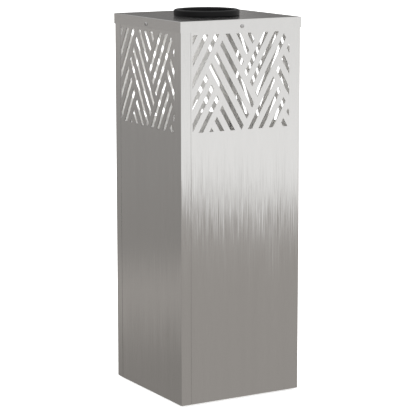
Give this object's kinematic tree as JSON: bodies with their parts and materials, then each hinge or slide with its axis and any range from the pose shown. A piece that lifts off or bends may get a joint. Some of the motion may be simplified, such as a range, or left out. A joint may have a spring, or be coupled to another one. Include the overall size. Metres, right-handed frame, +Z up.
{
  "type": "umbrella stand",
  "caption": "Tall square folded-steel umbrella stand with herringbone cut-outs, a lift-off lid, a round collared mouth and a lift-out drip tray.",
  "frame": {"origin": "on the floor, under the centre of the column", "axes": "+Z up, -Y the front, +X to the right seen from the front"},
  "size_m": [0.2058, 0.2058, 0.5684],
  "materials": {
    "brushed_steel": "fine straight grain, satin, grain upright on the panels",
    "plain_steel": "dull mill finish",
    "screw_steel": "polished stainless steel",
    "rivet_metal": "plain",
    "collar_plastic": "satin black moulding",
    "tray_plastic": "fine matte black moulding",
    "foot_rubber": "matte"
  },
  "bodies": {
    "column": {"panel_front": "brushed_steel", "panel_right": "brushed_steel", "panel_back": "brushed_steel", "panel_left": "brushed_steel", "base_pan": "plain_steel", "foot_front_left": "foot_rubber", "foot_front_right": "foot_rubber", "foot_back_left": "foot_rubber", "foot_back_right": "foot_rubber", "foot_rivets": "rivet_metal"},
    "lid": {"lid": "brushed_steel", "collar": "collar_plastic", "collar_lock_ring": "collar_plastic", "lid_screws": "screw_steel", "lid_washers": "screw_steel", "lid_nuts": "screw_steel"},
    "drip_tray": {"drip_tray": "tray_plastic"}
  },
  "joints": [
    {"name": "lid_lift", "type": "slide", "parent": "column", "child": "lid", "axis": [0, 0, 1], "range_m": [0, 0.12]},
    {"name": "tray_lift", "type": "slide", "parent": "column", "child": "drip_tray", "axis": [0, 0, 1], "range_m": [0, 0.5]}
  ]
}
